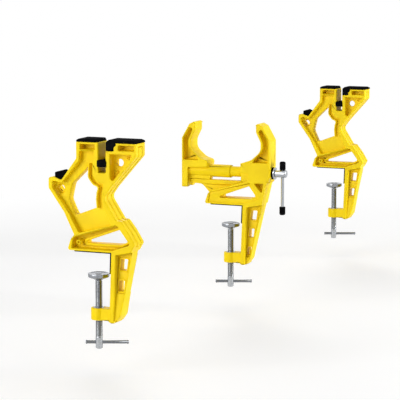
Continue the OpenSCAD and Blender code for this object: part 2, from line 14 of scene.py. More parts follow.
import bpy
import numpy as np
from mathutils.geometry import tessellate_polygon
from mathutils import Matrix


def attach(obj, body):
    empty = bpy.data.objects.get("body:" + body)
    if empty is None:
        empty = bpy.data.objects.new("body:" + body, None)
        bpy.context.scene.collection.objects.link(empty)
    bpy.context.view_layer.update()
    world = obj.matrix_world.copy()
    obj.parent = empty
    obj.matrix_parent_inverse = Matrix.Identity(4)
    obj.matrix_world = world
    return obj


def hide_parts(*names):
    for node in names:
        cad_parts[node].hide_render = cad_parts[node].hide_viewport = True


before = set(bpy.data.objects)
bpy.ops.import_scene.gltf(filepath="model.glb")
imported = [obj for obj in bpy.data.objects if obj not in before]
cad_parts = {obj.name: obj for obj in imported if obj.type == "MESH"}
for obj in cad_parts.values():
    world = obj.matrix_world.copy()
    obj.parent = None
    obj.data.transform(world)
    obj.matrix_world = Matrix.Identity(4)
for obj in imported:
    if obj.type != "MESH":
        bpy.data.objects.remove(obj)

LOG = logging.getLogger("tuning_vise")
Point = tuple[float, float, float]
Pair = tuple[float, float]
Corner = tuple[float, float, float]
Outline = list[Corner]
Profile = list[Pair]
Faces = list[list[int]]
Stops = tuple[tuple[float, str], tuple[float, str]]
Tree = bpy.types.NodeTree
Node = bpy.types.Node

MM = 0.001
ROOM = 0.48  # share of an edge that the arc at either of its ends may take
LEAST_RADIUS = 0.3  # of a corner that is moved towards its centre
LEAST_STEP = 1e-4  # between points that are kept apart
TIP = 0.02  # radius of the flat that closes a turned piece at its axis
BORE_PLAY = 0.05  # between a bore and the screw in it
TIGHT_PLAY = 0.02  # between a bore and what is pressed into it
HOLE_PLAY = 0.06  # between a cross hole and its bar, or a socket and its ball
OCTAGON = 1.08  # corner of an octagon as a share of the circle in it
SHARPEST = 0.4  # least divisor of a corner's step, so that a needle corner isn't thrown far out
TURN_ROWS = 7  # rows of points in one turn of a thread
THREAD_DEPTH = 0.5  # share of the pitch
THREAD_CREST = 1.3  # height of the wave before its crest and root are cut flat
AIM = (0.0, 0.0, 30.0)  # point that the lamps look at


class Unit(Enum):
    """One of the three units in the row: its prefix, its place along it in mm and its main body."""

    FRONT = ("front", -580.0, "front_support")
    CENTRE = ("vise", 0.0, "vise")
    REAR = ("rear", 632.0, "rear_support")

    def __init__(self, prefix: str, place: float, holder: str) -> None:
        """Keeps the three values under their names."""
        self.prefix, self.place, self.holder = prefix, place, holder


class Axis(Enum):
    """Direction of the axis that a turned piece is made around."""

    X = "x"
    Z = "z"


def linear(code: str) -> tuple[float, float, float, float]:
    """Turns an sRGB hex colour to linear values.

    Args:
        code: Six hex digits with a leading hash.

    Returns:
        Red, green, blue and an alpha of one.
    """
    parts = [int(code[i : i + 2], 16) / 255 for i in (1, 3, 5)]
    red, green, blue = (c / 12.92 if c <= 0.04045 else ((c + 0.055) / 1.055) ** 2.4 for c in parts)
    return red, green, blue, 1.0


def add_node(
    tree: Tree,
    kind: str,
    settings: dict[str, str] | None = None,
    stops: Stops | None = None,
    **links: object,
) -> Node:
    """Adds a node with its settings and the links or values of its inputs.

    Args:
        tree: Node tree that gets the node.
        kind: Type name of the node without the words that all of them start with.
        settings: Attributes of the node.
        stops: For a colour ramp, its two places between 0 and 1 with their hex colours.
        links: Input names, with spaces written as underscores, or i and a number, to values,
            sockets or nodes, which stand for their first output.

    Returns:
        The new node.
    """
    node = tree.nodes.new(f"ShaderNode{kind}")
    for name, value in (settings or {}).items():
        setattr(node, name, value)
    for name, value in links.items():
        socket = node.inputs[int(name[1:]) if name[1:].isdigit() else name.replace("_", " ")]
        value = value.outputs[0] if isinstance(value, Node) else value
        if isinstance(value, bpy.types.NodeSocket):
            tree.links.new(value, socket)
        else:
            socket.default_value = value
    if stops:
        for element, (place, code) in zip(node.color_ramp.elements, stops):
            element.position, element.color = place, linear(code)
    return node


def empty_tree(owner: bpy.types.ID) -> Tree:
    """Gives a material or a world a node tree of its own.

    Args:
        owner: The material or world.

    Returns:
        Its node tree, without nodes.
    """
    owner.use_nodes = True
    owner.node_tree.nodes.clear()
    return owner.node_tree


def add_object(name: str, data: bpy.types.ID) -> bpy.types.Object:
    """Puts a mesh, lamp or camera into the scene.

    Args:
        name: Name of the object.
        data: What it shows.

    Returns:
        The object.
    """
    obj = bpy.data.objects.new(name, data)
    bpy.context.scene.collection.objects.link(obj)
    return obj


@dataclass(frozen=True)
class Finish:
    """A material of two tones in a noise pattern, with a gloss that varies and a fine skin.

    The pattern is noise whose grains are about as wide as a real size, given in mm with its octaves.
    The skin is such noise too, followed by its bump's strength and depth in mm.  The gloss is the
    roughness at the noise's lowest and highest.  Where a metal piece has the attribute "root",
    painted shade darkens its thread towards the roots, where shade falls.
    """

    title: str
    slot_name: str
    tones: Stops
    gloss: Pair
    pattern: Pair
    stretch: Point | None = None
    skin: tuple[float, float, float, float] | None = None
    ior: float = 1.5
    specular: float = 0.5
    metal: bool = False
    # painted shade: share of the colour that is left at the deepest thread root
    root_shade: float = 0.25

    def material(self) -> bpy.types.Material:
        """Makes the material once and returns it on every later call.

        Returns:
            The material.
        """
        found = bpy.data.materials.get(self.title)
        if found is None:
            found = bpy.data.materials.new(self.title)
            tree = empty_tree(found)
            add_node(tree, "OutputMaterial", Surface=self.shader(tree))
        return found

    def shader(self, tree: Tree) -> Node:
        """Adds the tones, the skin and the gloss, which follows a metal's pattern or another's skin.

        Args:
            tree: Node tree of the material.

        Returns:
            The principled shader.
        """
        place = add_node(tree, "TexCoord").outputs["Object"]
        drawn = add_node(tree, "Mapping", Vector=place, Scale=self.stretch) if self.stretch else place
        size, octaves = self.pattern
        varied = add_node(tree, "TexNoise", Vector=drawn, Scale=1 / (size * MM), Detail=octaves)
        tone = add_node(tree, "ValToRGB", stops=self.tones, Fac=varied)
        inputs: dict[str, object] = {"Base_Color": tone}
        if self.metal:
            # metal finishes darken their thread roots as painted shade
            inputs.update(Metallic=1.0, Base_Color=self.root_shaded(tree, tone))
        else:
            inputs.update(IOR=self.ior, Specular_IOR_Level=self.specular)
        if self.skin:
            size, octaves, strength, depth = self.skin
            height = add_node(tree, "TexNoise", Vector=place, Scale=1 / (size * MM), Detail=octaves)
            bump = add_node(tree, "Bump", Strength=strength, Distance=depth * MM, Height=height)
            inputs["Normal"] = bump
            varied = varied if self.metal else height
        low, high = self.gloss
        gloss = add_node(tree, "MapRange", Value=varied, To_Min=low, To_Max=high)
        return add_node(tree, "BsdfPrincipled", Roughness=gloss, **inputs)

    def root_shaded(self, tree: Tree, colour: Node) -> Node:
        """Scales a colour from one, where "root" is 0, down to a share at the deepest root, as painted
        shade.

        Args:
            tree: Node tree of the material.
            colour: Node that gives the colour of the clean metal.

        Returns:
            The node with the result.
        """
        root = add_node(tree, "Attribute", {"attribute_name": "root"}).outputs["Fac"]
        share = add_node(tree, "MapRange", Value=root, To_Min=1.0, To_Max=self.root_shade)
        return add_node(tree, "VectorMath", {"operation": "SCALE"}, i0=colour, Scale=share)


@dataclass(frozen=True)
class MouldedNylon(Finish):
    """Glass-filled nylon, injection moulded and dyed through: satin, with a fine spark-eroded grain.

    Flow clouds of 30 mm in the dye, and a grain drawn at 0.9 mm so that it shows.
    """

    tones: Stops = ((0.35, "#f0cf04"), (0.65, "#f7d806"))
    gloss: Pair = (0.37, 0.49)
    pattern: Pair = (30.0, 3.0)
    skin: tuple[float, float, float, float] | None = (0.9, 2.0, 0.18, 0.12)
    specular: float = 0.14


@dataclass(frozen=True)
class MouldedRubber(Finish):
    """Natural rubber, compression moulded: dull black with a leathery skin and a faint bloom.

    Bloom in patches of 9 mm and a skin drawn at 1.1 mm so that it shows.
    """

    tones: Stops = ((0.42, "#0c0c0e"), (0.75, "#151517"))
    gloss: Pair = (0.72, 0.9)
    pattern: Pair = (9.0, 4.0)
    skin: tuple[float, float, float, float] | None = (1.1, 3.0, 0.3, 0.15)
    ior: float = 1.52
    specular: float = 0.004


@dataclass(frozen=True)
class ZincSteel(Finish):
    """Steel with bright zinc plating: grey, with a faint crystalline mottle and fine tool marks.

    Mottle of 2.5 mm in colour and gloss, and a skin drawn at 0.5 mm so that it shows.
    """

    tones: Stops = ((0.35, "#a6a9ac"), (0.7, "#c2c5c8"))
    gloss: Pair = (0.26, 0.15)
    pattern: Pair = (2.5, 4.0)
    skin: tuple[float, float, float, float] | None = (0.5, 2.0, 0.1, 0.05)
    metal: bool = True


@dataclass(frozen=True)
class ChromeSteel(Finish):
    """Ground steel with polished chrome plating: bright and smooth, with faint hairlines.

    Hairlines across X, 0.6 mm apart and twelve times as long, so that they run round the spindle.
    """

    tones: Stops = ((0.3, "#9ca0a4"), (0.6, "#b4b7bb"))
    gloss: Pair = (0.06, 0.18)
    pattern: Pair = (0.6, 2.0)
    stretch: Point | None = (1.0, 0.08, 0.08)
    metal: bool = True


NYLON = MouldedNylon("nylon, glass-filled, injection moulded", "yellow_plastic")
RUBBER = MouldedRubber("rubber, compression moulded", "black_rubber")
ZINC = ZincSteel("steel, turned and zinc plated", "zinc_steel")
DRAWN = ZincSteel(
    "steel, drawn and zinc plated", "zinc_steel", ((0.35, "#6f7276"), (0.7, "#84878b")), (0.3, 0.19)
)
PRESSED = ZincSteel(
    "steel, pressed and zinc plated", "zinc_steel", ((0.35, "#8b8e92"), (0.7, "#a0a3a7")), (0.28, 0.17)
)
CHROME = ChromeSteel("steel, ground and chrome plated", "chrome_steel")


def turning(line: np.ndarray) -> int:
    """Gives 1 for an outline that runs anticlockwise and -1 for a clockwise one.

    Args:
        line: Array of (x, z).

    Returns:
        The sign of the outline's area.
    """
    after = np.roll(line, -1, 0)
    return 1 if (line[:, 0] * after[:, 1] - after[:, 0] * line[:, 1]).sum() > 0 else -1


def rounded_outline(points: Outline, steps: int = 5) -> np.ndarray:
    """Rounds the corners of a closed outline.

    Each corner of radius r becomes an arc whose ends lie r / tan(half) from the corner on its two
    edges, where half is half the corner's angle; the arc runs about a centre on the bisector.

    Args:
        points: Corners as (x, z, radius) in mm.
        steps: Pieces of each arc.

    Returns:
        Array of (x, z), running anticlockwise.
    """
    corners = np.array(points, float)
    here = corners[:, :2]
    before = np.roll(here, 1, 0) - here
    after = np.roll(here, -1, 0) - here
    long_before = np.linalg.norm(before, axis=1, keepdims=True)
    long_after = np.linalg.norm(after, axis=1, keepdims=True)
    before, after = before / long_before, after / long_after
    half = np.arccos(np.clip((before * after).sum(1), -1, 1)) / 2
    room = ROOM * np.minimum(long_before, long_after)[:, 0]
    radius = np.minimum(corners[:, 2], room * np.tan(half))
    middle = before + after
    middle /= np.maximum(np.linalg.norm(middle, axis=1, keepdims=True), 1e-9)
    centre = here + middle * (radius / np.sin(half))[:, None]
    start = here + before * (radius / np.tan(half))[:, None] - centre
    end = here + after * (radius / np.tan(half))[:, None] - centre
    sweep = math.pi - 2 * half
    share = np.linspace(0, 1, steps + 1)[None, :, None]
    turn = np.maximum(sweep, 1e-6)[:, None, None]
    leaving, coming = np.sin(turn * (1 - share)), np.sin(turn * share)
    arcs = (leaving * start[:, None] + coming * end[:, None]) / np.sin(turn)
    line = (centre[:, None] + arcs).reshape(-1, 2)
    keep = np.linalg.norm(line - np.roll(line, 1, 0), axis=1) > LEAST_STEP
    line = line[keep]
    return line[:: turning(line)]


def outward(line: np.ndarray) -> np.ndarray:
    """Outward steps at the points of an anticlockwise outline.

    Each is the sum of the normals of the two edges that meet there, divided by one plus the
    cosine between them, so that moving every point by it moves every edge by one.

    Args:
        line: Array of (x, z).

    Returns:
        Array of the same shape.
    """
    edge = np.roll(line, -1, 0) - line
    normal = np.stack([edge[:, 1], -edge[:, 0]], 1) / np.linalg.norm(edge, axis=1, keepdims=True)
    back = np.roll(normal, 1, 0)
    return (normal + back) / np.maximum(1 + (normal * back).sum(1, keepdims=True), SHARPEST)


def beside(points: Outline, distance: float) -> Outline:
    """The corners of a closed outline moved outwards, with their radii kept concentric.

    Args:
        points: Corners as (x, z, radius) in mm, in either direction.
        distance: How far every edge moves, negative for inwards.

    Returns:
        The moved corners in the same order.
    """
    corners = np.array(points, float)
    line, turn = corners[:, :2], turning(corners[:, :2])
    moved = line + distance * turn * outward(line)
    into, out = line - np.roll(line, 1, 0), np.roll(line, -1, 0) - line
    bend = np.sign(turn * (into[:, 0] * out[:, 1] - into[:, 1] * out[:, 0]))
    radius = np.maximum(LEAST_RADIUS, corners[:, 2] + bend * distance)
    return [tuple(row) for row in np.column_stack([moved, radius])]


def circle(x: float, z: float, radius: float) -> Outline:
    """Corners of an octagon that are rounded until it is a circle.

    Args:
        x: Place of its centre.
        z: Height of its centre.
        radius: Its radius.

    Returns:
        The corners.
    """
    reach = OCTAGON * radius
    angles = np.radians(np.arange(0, 360, 45))
    return [(x + reach * math.cos(a), z + reach * math.sin(a), radius) for a in angles]


class Piece:
    """A finished mesh object that rides on a body and may stand for solids of the frame."""

    def __init__(
        self, name: str, points: np.ndarray, faces: Faces, finish: Finish, sharp: float = 38.0
    ) -> None:
        """Makes the mesh at the origin, in metres.

        Args:
            name: Name of the object.
            points: Array of points in mm.
            faces: Lists of point numbers, wound outwards.
            finish: Finish of the whole piece.
            sharp: Angle in degrees above which an edge stays sharp.
        """
        mesh = bpy.data.meshes.new(name)
        mesh.from_pydata((points * MM).tolist(), [], faces)
        mesh.materials.append(finish.material())
        mesh.validate()
        mesh.polygons.foreach_set("use_smooth", np.ones(len(mesh.polygons), bool))
        mesh.set_sharp_from_angle(angle=math.radians(sharp))
        self.obj = add_object(name, mesh)

    def on(self, body: str, *nodes: str) -> None:
        """Puts the piece on a body.

        Args:
            body: Name of the body.
            nodes: Solids that it stands for.
        """
        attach(self.obj, body)
        if nodes:
            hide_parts(*nodes)
        LOG.info("%s: %d faces, rides on %s", self.obj.name, len(self.obj.data.polygons), body)

    def drill(
        self, centre: Point, axis: Axis, half: float, radius: float, sink: float, turn: float = 0.0
    ) -> None:
        """Cuts a cross hole for a bar, with a countersink at either end, out of a turned piece.

        Args:
            centre: Middle of the hole.
            axis: Its direction.
            half: Half of the cutter's length, past the piece's surface.
            radius: Radius of the bar.
            sink: How much deeper and wider than the hole the countersink is.
            turn: Turn of the hole about Z, in degrees.
        """
        hole = radius + HOLE_PLAY
        profile = [(-half, hole + sink), (-half + sink, hole), (half - sink, hole), (half, hole + sink)]
        cutter = turned("cutter", profile, centre, axis, ZINC, turn, 32).obj
        cut = self.obj.modifiers.new("cross hole", "BOOLEAN")
        cut.object, cut.solver = cutter, "EXACT"
        bpy.context.view_layer.update()
        done = self.obj.evaluated_get(bpy.context.evaluated_depsgraph_get())
        mesh = bpy.data.meshes.new_from_object(done)
        self.obj.modifiers.clear()
        self.obj.data = mesh
        bpy.data.objects.remove(cutter)


def lattice(rows: int, columns: int, closed_rows: bool, first: int = 0) -> Faces:
    """Faces of a grid whose columns run round.

    Face (i, j) joins rows i and i + 1 and columns j and j + 1, counted round.

    Args:
        rows: Number of rows.
        columns: Number of columns.
        closed_rows: Whether the last row joins the first.
        first: Number of the grid's first point.

    Returns:
        Lists of four point numbers.
    """
    i = np.arange(rows if closed_rows else rows - 1)[:, None]
    j = np.arange(columns)[None, :]
    below, above = i * columns, ((i + 1) % rows) * columns
    right = (j + 1) % columns
    quads = np.stack([below + j, below + right, above + right, above + j], -1)
    return (quads.reshape(-1, 4) + first).tolist()


def capped(rows: int, columns: int) -> Faces:
    """Faces of a grid whose first and last row are each closed by one flat face.

    Args:
        rows: Number of rows.
        columns: Number of columns, which run round.

    Returns:
        Lists of point numbers.
    """
    last = (rows - 1) * columns
    ends = [list(range(columns))[::-1], list(range(last, last + columns))]
    return lattice(rows, columns, False) + ends


def turned(
    name: str,
    profile: Profile,
    centre: Point,
    axis: Axis,
    finish: Finish,
    turn: float = 0.0,
    around: int = 48,
    ring: bool = False,
) -> Piece:
    """A piece turned on a lathe.

    Point (i, a) lies profile[i, 0] along the axis and profile[i, 1] away from it, at angle a.

    Args:
        name: Name of the piece.
        profile: Places along the axis, rising, with their radii.
        centre: Point where the axis passes through place 0.
        axis: Direction of the axis before it is turned.
        finish: Finish of the piece.
        turn: Turn of the piece about Z, in degrees.
        around: Points round the axis.
        ring: Whether the profile is closed, so that the piece has a bore.

    Returns:
        The piece.
    """
    rows = np.array(profile, float)
    angle = np.linspace(0, 2 * math.pi, around, endpoint=False)[None, :]
    along = np.broadcast_to(rows[:, :1], (len(rows), around))
    one, two = rows[:, 1:] * np.cos(angle), rows[:, 1:] * np.sin(angle)
    order = (along, one, two) if axis is Axis.X else (one, two, along)
    points = np.stack(order, -1).reshape(-1, 3)
    c, s = math.cos(math.radians(turn)), math.sin(math.radians(turn))
    points = points @ np.array([[c, s, 0], [-s, c, 0], [0, 0, 1]]) + np.array(centre)
    faces = lattice(len(rows), around, True) if ring else capped(len(rows), around)
    return Piece(name, points, faces, finish)


def arc(along: float, away: float, radius: float, start: float, end: float, steps: int = 4) -> Profile:
    """Points of an arc in a profile.

    Args:
        along: Place of its centre along the axis.
        away: Distance of its centre from the axis.
        radius: Its radius.
        start: First angle in degrees, 0 along the axis and 90 away from it.
        end: Last angle in degrees.
        steps: Pieces of the arc.

    Returns:
        The points.
    """
    angle = np.radians(np.linspace(start, end, steps + 1))
    return list(zip(along + radius * np.cos(angle), away + radius * np.sin(angle)))


def pillow(
    name: str,
    points: Outline,
    place: float,
    depth: float,
    soften: Pair,
    seat: float | None = None,
    steps: int = 6,
) -> Piece:
    """A rubber outline carried along Y whose ends are rounded like a moulded pad's.

    At a share t of the rounding's reach the outline is drawn in by d = 1 - sqrt(1 - t^2) times the
    rounding: x becomes xm + (x - xm) (1 - d sx / hx) about the middle.  Above a seat z becomes
    z - d sz (z - seat) / (top - seat), and without one it is drawn in about its middle as x is.

    Args:
        name: Name of the piece.
        points: Corners as (x, z, radius) in mm.
        place: Middle of the piece along Y.
        depth: Its length along Y.
        soften: Rounding at the ends in x and in z.
        seat: Height that the rounding leaves alone, with all below it.
        steps: Pieces of each rounding.

    Returns:
        The piece.
    """
    line = rounded_outline(points)
    low, high = line.min(0), line.max(0)
    middle, half = (low + high) / 2, (high - low) / 2
    reach = max(soften)
    t = np.sin(np.linspace(0, math.pi / 2, steps + 1))
    dip = 1 - np.sqrt(np.clip(1 - t**2, 0, 1))
    ends = depth / 2 - reach + reach * t
    y = np.concatenate([-ends[::-1], ends])
    inset = np.concatenate([dip[::-1], dip])[:, None]
    x = middle[0] + (line[:, 0] - middle[0])[None] * (1 - inset * soften[0] / half[0])
    if seat is None:
        z = middle[1] + (line[:, 1] - middle[1])[None] * (1 - inset * soften[1] / half[1])
    else:
        above = np.clip((line[:, 1] - seat) / (high[1] - seat), 0, 1)
        z = line[None, :, 1] - inset * soften[1] * above[None]
    grid = np.stack([x, np.broadcast_to((place + y)[:, None], x.shape), z], -1)
    return Piece(name, grid.reshape(-1, 3), [face[::-1] for face in capped(len(y), len(line))], RUBBER)


def plate(
    name: str,
    points: Outline,
    holes: list[Outline],
    place: float,
    half: Pair,
    soften: float,
    steps: int = 4,
) -> Piece:
    """A nylon slab across the row with openings, whose edges are all rounded.

    At an angle a from 0 to 90 degrees the corners are moved r (1 - cos a) back from the outline and
    rounded anew, where r is the rounding, and the wall there reaches y = h(z) - r (1 - sin a).  h(z)
    runs straight between its two values.

    Args:
        name: Name of the piece.
        points: Corners of the slab as (x, z, radius) in mm.
        holes: Corners of each opening.
        place: Middle of the slab along Y.
        half: Half of its thickness at its top and at its bottom.
        soften: Rounding of its edges.
        steps: Pieces of each rounding.

    Returns:
        The piece.
    """
    heights = rounded_outline(points)[:, 1]
    top, bottom = heights.max(), heights.min()
    angle = np.linspace(0, math.pi / 2, steps + 1)
    back, dip = soften * (1 - np.cos(angle)), soften * (1 - np.sin(angle))
    back, dip = np.concatenate([back[::-1], back]), np.concatenate([dip[::-1], dip])
    side = np.repeat([-1.0, 1.0], steps + 1)
    points_out, faces, rings, first = [], [], [], 0
    for number, corners in enumerate([points, *holes]):
        lines = [rounded_outline(beside(corners, -step if number == 0 else step)) for step in back]
        line, grid = lines[0], np.stack(lines)
        share = (grid[..., 1] - bottom) / (top - bottom)
        height = half[1] + (half[0] - half[1]) * share
        y = place + side[:, None] * (height - dip[:, None])
        block = np.stack([grid[..., 0], y, grid[..., 1]], -1).reshape(-1, 3)
        walls = lattice(len(side), len(line), False, first)
        faces += [face[::-1] for face in walls] if number == 0 else walls
        rings.append((first, len(line)))
        points_out.append(block)
        first += len(block)
    grid = np.concatenate(points_out)
    for row, turn in ((0, 1), (len(side) - 1, -1)):
        starts = [(start + row * count, count) for start, count in rings]
        numbers = [list(range(start, start + count)) for start, count in starts]
        flat = [number for ring in numbers for number in ring]
        polygons = [[(grid[n, 0], grid[n, 2], 0.0) for n in ring] for ring in numbers]
        for one, two, three in tessellate_polygon(polygons):
            a, b, c = (grid[flat[k]][[0, 2]] for k in (one, two, three))
            area = (b[0] - a[0]) * (c[1] - a[1]) - (b[1] - a[1]) * (c[0] - a[0])
            if abs(area) > 1e-9:
                order = (one, two, three) if area * turn > 0 else (one, three, two)
                faces.append([flat[k] for k in order])
    return Piece(name, grid, faces, NYLON)


def threaded(
    name: str,
    span: Pair,
    radius: float,
    pitch: float,
    centre: Point,
    axis: Axis,
    finish: Finish,
    around: int = 40,
) -> Piece:
    """A rolled thread.

    At height h and angle a the radius is the crest's minus the thread's depth times
    (0.5 + 0.5 cos(2 pi (h / pitch - a / 2 pi))), flattened at crest and root, and the depth
    fades to nothing over one pitch at either end.  The attribute "root" keeps that share.

    Args:
        name: Name of the piece.
        span: Lowest and highest place along the axis, in mm.
        radius: Radius of the crest.
        pitch: Distance between turns.
        centre: Point where the axis passes through place 0.
        axis: Direction of the axis.
        finish: Finish of the piece.
        around: Points round the axis.

    Returns:
        The piece.
    """
    rows = int((span[1] - span[0]) / pitch * TURN_ROWS) + 1
    height = np.linspace(span[0], span[1], rows)[:, None]
    angle = np.linspace(0, 2 * math.pi, around, endpoint=False)[None, :]
    wave = np.cos(2 * math.pi * (height / pitch) - angle)
    fade = np.clip(np.minimum(height - span[0], span[1] - height) / pitch, 0, 1)
    root = fade * (0.5 + 0.5 * np.clip(THREAD_CREST * wave, -1, 1))
    away = radius - THREAD_DEPTH * pitch * root
    along = np.broadcast_to(height, away.shape)
    order = (along, away * np.cos(angle), away * np.sin(angle))
    order = order if axis is Axis.X else (order[1], order[2], order[0])
    points = np.stack(order, -1).reshape(-1, 3) + np.array(centre)
    piece = Piece(name, points, capped(rows, around), finish, 60.0)
    # share of the thread depth, which the metal finishes darken as painted shade
    root_shade_layer = piece.obj.data.attributes.new("root", "FLOAT", "POINT")
    root_shade_layer.data.foreach_set("value", root.ravel())
    return piece


@dataclass
class Moulding:
    """A moulded solid of the frame that gets rounded edges and its finish."""

    node: str
    weld: float = 0.01
    rounding: float = 1.6
    segments: int = 3
    sharp: float = 50.0

    def build(self) -> None:
        """Welds the solid's triangles and rounds every edge that is sharp enough."""
        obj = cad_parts[self.node]
        obj.data.materials.clear()
        obj.data.materials.append(NYLON.material())
        obj.modifiers.new("weld", "WELD").merge_threshold = self.weld * MM
        bevel = obj.modifiers.new("rounded edges", "BEVEL")
        bevel.width = self.rounding * MM
        bevel.segments = self.segments
        bevel.limit_method = "ANGLE"
        bevel.angle_limit = math.radians(self.sharp)
        bevel.use_clamp_overlap = False
        bevel.harden_normals = True
        bevel.miter_outer = "MITER_ARC"
        LOG.info("%s: rounded by %.1f mm", self.node, self.rounding)


@dataclass
class Assembly:
    """Pieces of one unit of the row."""

    unit: Unit

    def name(self, piece: str) -> str:
        """Name of one of the unit's pieces, solids or bodies."""
        return f"{self.unit.prefix}_{piece}"

    def centre(self, z: float = 0.0) -> Point:
        """Point of the unit's screw axis at height z."""
        return (0.0, self.unit.place, z)


@dataclass(frozen=True)
class Spine:
    """Windows, lowest height and outer face of the spine under a unit's foot, and its panel.

    The root is the outer face's place at the foot.  Half of the panel's thickness is top there, and
    rise more at the lowest height.
    """

    windows: int
    floor: float
    root: float
    top: float
    rise: float


SUPPORT_SPINE = Spine(2, -65.5, 65.5, 6.3, 3.0)
VISE_SPINE = Spine(3, -99.5, 67.5, 5.6, 0.8)


@dataclass
class Relief(Assembly):
    """Raised panels, beads and filled edge that the mould leaves on an end support or the vise.

    The spine's inner face leans from reach by lean over drop, below the lining's thickness, and its
    outer face runs from the unit's root to the tip.  A spine window's top and bottom are its place
    and its step per window, and its half width shrinks by one each time.  Openings stand into the
    frame's windows by the mouth or the rim, so that their walls cover its walls.
    """

    lining: float = 1.5
    reach: float = 31.0
    lean: float = 4.5
    drop: float = 112.0
    tip: float = 42.5
    flange: float = 7.2
    lip: float = 1.2
    window_top: Pair = (-8.6, 35.0)
    window_bottom: Pair = (-27.5, 34.0)
    window_half: float = 6.25
    window_height: float = 19.0
    window_corner: float = 1.5
    window_margin: Pair = (8.0, 2.5)
    mouth: float = 0.1
    rim: float = 0.15
    panel_sink: float = 1.8
    foot_sink: float = 2.0
    bead: Pair = (0.1, 3.0)
    groove: Pair = (0.12, 4.0)
    foot_loop_width: float = 4.0
    spine_loop_width: float = 2.6
    spine_loop_rise: float = 1.2
    window: tuple[Corner, ...] = (
        (-9.3, 141.0, 2.0), (-11.3, 121.0, 12.0), (-1.8, 109.0, 8.0), (7.2, 106.0, 4.0),
        (4.3, 97.0, 8.0), (3.3, 86.0, 8.0), (4.3, 73.0, 3.0), (-36.5, 57.5, 4.0),
        (-48.0, 83.0, 12.0), (-42.0, 109.0, 12.0),
    )
    panel: tuple[Corner, ...] = (
        (-24.6, 163.6, 1.0), (2.2, 163.6, 1.0), (2.2, 150.0, 4.0), (-0.7, 143.0, 4.0),
        (-0.7, 124.0, 10.0), (7.8, 114.6, 8.0), (19.8, 112.6, 3.0), (15.9, 98.0, 6.0),
        (15.4, 88.0, 6.0), (17.9, 74.0, 3.0), (32.6, 45.4, 2.0), (-26.0, 32.0, 2.0),
        (-48.0, 61.8, 16.0), (-76.0, 100.2, 4.0), (-73.6, 113.6, 2.0), (-56.4, 110.6, 3.0),
        (-24.6, 148.4, 6.0),
    )
    arm_hole: Corner = (-62.2, 99.5, 7.9)
    marks: tuple[Point, ...] = ((54.9, 153.5, 5.4), (36.1, 130.6, 5.4), (-72.4, 109.5, 19.3))
    mark_radii: Pair = (2.3, 1.2)
    foot_window: tuple[Corner, ...] = (
        (-16.0, 13.5, 1.5), (45.0, 14.0, 3.0), (57.0, 19.5, 3.0), (43.0, 38.5, 2.0),
        (-16.0, 17.0, 1.5),
    )
    foot: tuple[Corner, ...] = (
        (-39.8, 4.7, 1.5), (33.2, 4.7, 3.0), (64.8, 14.8, 2.0), (45.2, 41.6, 2.0),
        (-35.6, 21.6, 2.0), (-37.6, 19.8, 2.0),
    )
    edge: tuple[Corner, ...] = (
        (75.0, 171.8, 0.3), (75.0, 157.0, 5.0), (29.3, 105.0, 10.0), (20.1, 92.0, 8.0),
        (20.3, 86.0, 8.0), (40.5, 54.0, 3.0), (48.0, 53.0, 3.0), (61.0, 36.5, 14.0),
        (73.0, 17.0, 3.5), (70.6, 12.4, 0.3),
    )

    @property
    def central(self) -> bool:
        """Whether the unit is the centre vise."""
        return self.unit is Unit.CENTRE

    @property
    def spine(self) -> Spine:
        """Spine of the unit."""
        return VISE_SPINE if self.central else SUPPORT_SPINE

    def add(
        self,
        piece: str,
        points: Outline,
        holes: list[Outline],
        half: Pair,
        soften: float,
        steps: int = 4,
    ) -> None:
        """Puts a plate about the middle of the unit's frame.

        Args:
            piece: What it is.
            points: Its corners.
            holes: Corners of each opening.
            half: Half of its thickness at its top and at its bottom.
            soften: Rounding of its edges.
            steps: Pieces of each rounding.
        """
        plate(self.name(piece), points, holes, self.unit.place, half, soften, steps).on(self.unit.holder)

    def build(self) -> None:
        """Builds the details that the unit has."""
        if self.central:
            self.foot_panel()
        else:
            self.raised_panel()
            self.window_bead()
            self.filled_edge()
            self.foot_loop()
            self.ejector_marks()
        self.spine_panel()

    def raised_panel(self) -> None:
        """Level panel of arm and prong, sunk into the flanges round it, with window and arm hole."""
        outline = beside(self.panel, self.panel_sink)
        holes = [beside(self.window, -self.rim), circle(*self.arm_hole)]
        self.add("raised_panel", outline, holes, half=(8.4, 8.4), soften=1.8)

    def window_bead(self) -> None:
        """Standing bead, 2.9 mm wide, along the first seven corners of the window."""
        near, far = (beside(self.window, distance)[:7] for distance in self.bead)
        self.add("window_bead", near + far[::-1], [], half=(16.0, 16.0), soften=1.2)

    def filled_edge(self) -> None:
        """Filling that leaves the outer edge's groove an eighth of a millimetre deep."""
        inside = [(30.0, 12.4, 0.3), (-10.0, 90.0, 0.3), (30.0, 171.8, 0.3)]
        closed = [*self.edge, *inside]
        outer, inner = (beside(closed, -depth)[: len(self.edge)] for depth in self.groove)
        self.add("filled_edge", outer + inner[::-1], [], half=(8.6, 8.6), soften=0.4, steps=2)

    def foot_loop(self) -> None:
        """Broad raised loop round the foot's window."""
        outline = beside(self.foot_window, self.foot_loop_width)
        mouth = beside(self.foot_window, -self.mouth)
        self.add("foot_loop", outline, [mouth], half=(9.0, 9.0), soften=1.5)

    def ejector_marks(self) -> None:
        """Small rings that the mould's ejector pins leave on the prong's web and the arm's tip."""
        for k, (x, z, half) in enumerate(self.marks):
            outer, inner = (circle(x, z, radius) for radius in self.mark_radii)
            self.add(f"ejector_mark_{k + 1}", outer, [inner], (half, half), soften=0.3, steps=2)

    def foot_panel(self) -> None:
        """Nearly full panel of the centre vise's foot round its window."""
        outline = beside(self.foot, self.foot_sink)
        mouth = beside(self.foot_window, -self.mouth)
        self.add("foot_panel", outline, [mouth], half=(16.0, 16.0), soften=1.4)

    def inner(self, z: float) -> float:
        """X of the spine's inner face at height z."""
        return self.reach + self.lean * (z - self.lining) / (self.drop + self.lining)

    def outer(self, z: float) -> float:
        """X of the spine's outer face at height z."""
        root = self.spine.root
        return root + (root - self.tip) * z / self.drop

